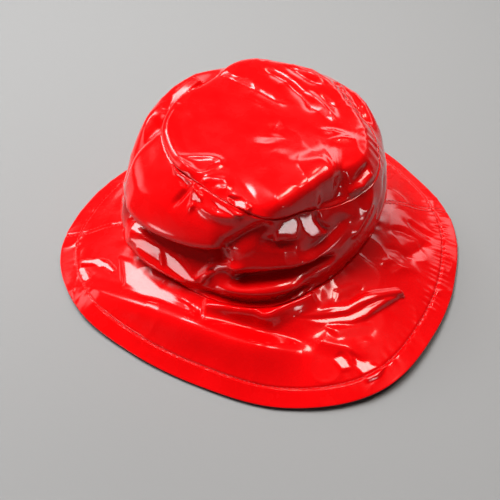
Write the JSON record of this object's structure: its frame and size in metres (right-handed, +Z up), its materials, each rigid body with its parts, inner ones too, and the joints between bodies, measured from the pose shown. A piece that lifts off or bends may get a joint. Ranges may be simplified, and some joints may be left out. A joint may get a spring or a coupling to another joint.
{
  "type": "rain hat",
  "caption": "Bucket-shaped rain hat of glossy coated cloth, lying on its brim, with a puckered crown and a hemmed, softly folded brim",
  "frame": {"origin": "middle of the hat's footprint, on the surface that its brim lies on", "axes": "+Z up through the crown, +X to the wearer's side where the longest width of the brim lies, +Y away from the side shown nearest"},
  "size_m": [0.318, 0.3034, 0.1165],
  "materials": {
    "coated_cloth": "wet-look gloss coating on cloth, with soft creases"
  },
  "bodies": {
    "root": {"crown_tip": "coated_cloth", "crown_side": "coated_cloth", "brim_front": "coated_cloth", "brim_back": "coated_cloth"}
  },
  "joints": []
}
